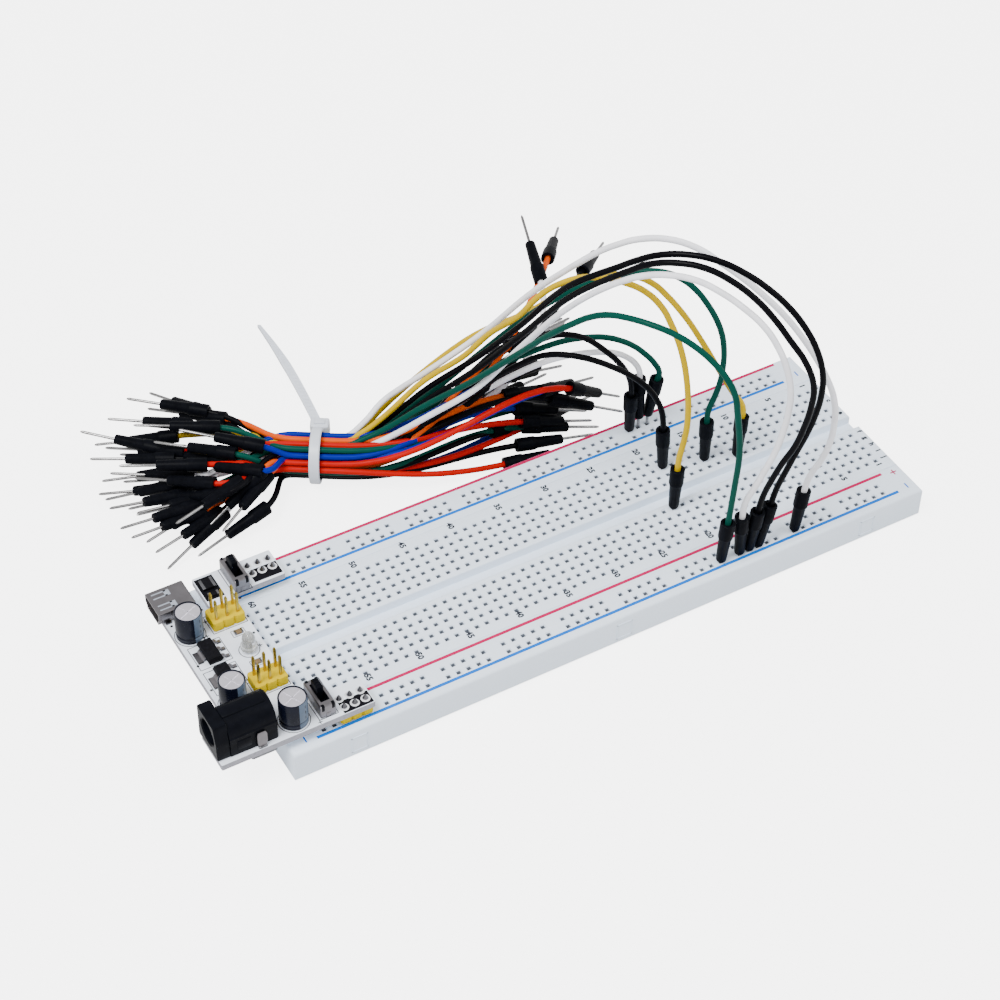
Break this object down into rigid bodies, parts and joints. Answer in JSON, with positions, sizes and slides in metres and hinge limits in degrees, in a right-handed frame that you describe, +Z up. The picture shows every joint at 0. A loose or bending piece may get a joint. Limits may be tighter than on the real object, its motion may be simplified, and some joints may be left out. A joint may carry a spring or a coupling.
{
  "type": "solderless breadboard",
  "caption": "Long solderless prototyping board with power rails, a power supply module plugged on one end, and a tied bundle of jumper leads plugged in at the other.",
  "frame": {"origin": "centre of the underside of the adhesive pad, on the surface that the board lies on", "axes": "+X along the board's long side away from the power module, +Y across it towards the tied bundle, +Z up"},
  "size_m": [0.1812, 0.1291, 0.0886],
  "materials": {
    "white_housing": "satin moulded",
    "adhesive_foam": "matt foam",
    "contact_metal": "plated spring metal",
    "circuit_board": "white solder mask, slight sheen",
    "black_plastic": "moulded",
    "yellow_plastic": "moulded",
    "plated_steel": "tin-plated sheet",
    "capacitor_sleeve": "shrink sleeve",
    "clear_lens": "clear, polished",
    "wire_black": "smooth insulation",
    "wire_white": "smooth insulation",
    "wire_green": "smooth insulation",
    "wire_yellow": "smooth insulation",
    "cable_tie": "moulded nylon"
  },
  "bodies": {
    "board": {"adhesive_pad": "adhesive_foam", "terminal_strip": "white_housing", "bus_strip_front": "white_housing", "bus_strip_back": "white_housing", "terminal_contacts_far": "contact_metal", "terminal_contacts_near": "contact_metal", "bus_contact_front_1": "contact_metal", "bus_contact_front_2": "contact_metal", "bus_contact_back_1": "contact_metal", "bus_contact_back_2": "contact_metal", "lead_01_plug": "black_plastic", "lead_02_plug": "black_plastic", "lead_03_plug": "black_plastic", "lead_04_plug": "black_plastic", "lead_05_plug": "black_plastic", "lead_06_plug": "black_plastic", "lead_07_plug": "black_plastic", "lead_08_plug": "black_plastic", "lead_09_plug": "black_plastic", "lead_10_plug": "black_plastic", "lead_11_plug": "black_plastic", "lead_12_plug": "black_plastic", "lead_01_wire": "wire_green", "lead_02_wire": "wire_white", "lead_03_wire": "wire_black", "lead_04_wire": "wire_black", "lead_05_wire": "wire_white", "lead_06_wire": "wire_yellow", "lead_07_wire": "wire_green", "lead_08_wire": "wire_yellow", "lead_09_wire": "wire_black", "lead_10_wire": "wire_black", "lead_11_wire": "wire_white", "lead_12_wire": "wire_green", "bundle_waist": "wire_black", "bundle_left": "wire_green", "bundle_right": "wire_green", "cable_tie": "cable_tie"},
    "power_module": {"pcb": "circuit_board", "rail_header_near": "yellow_plastic", "rail_header_far": "yellow_plastic", "header_far": "yellow_plastic", "header_near": "yellow_plastic", "usb_shell": "plated_steel", "usb_tongue": "black_plastic", "dc_jack_body": "black_plastic", "dc_jack_pin": "plated_steel", "dc_jack_lug": "plated_steel", "regulator_far": "black_plastic", "regulator_near": "black_plastic", "capacitor_1": "capacitor_sleeve", "capacitor_2": "capacitor_sleeve", "capacitor_3": "capacitor_sleeve", "power_led": "clear_lens", "switch_far_frame": "plated_steel", "switch_near_frame": "plated_steel", "resistor_1": "black_plastic", "resistor_2": "black_plastic"},
    "switch_far_slider": {"switch_far_slider": "black_plastic"},
    "switch_near_slider": {"switch_near_slider": "black_plastic"}
  },
  "joints": [
    {"name": "module_unplug", "type": "slide", "parent": "board", "child": "power_module", "axis": [0, 0, 1], "range_m": [0, 0.012]},
    {"name": "switch_far_slide", "type": "slide", "parent": "power_module", "child": "switch_far_slider", "axis": [0, 1, 0], "range_m": [-0.002, 0]},
    {"name": "switch_near_slide", "type": "slide", "parent": "power_module", "child": "switch_near_slider", "axis": [0, 1, 0], "range_m": [-0.002, 0]}
  ]
}
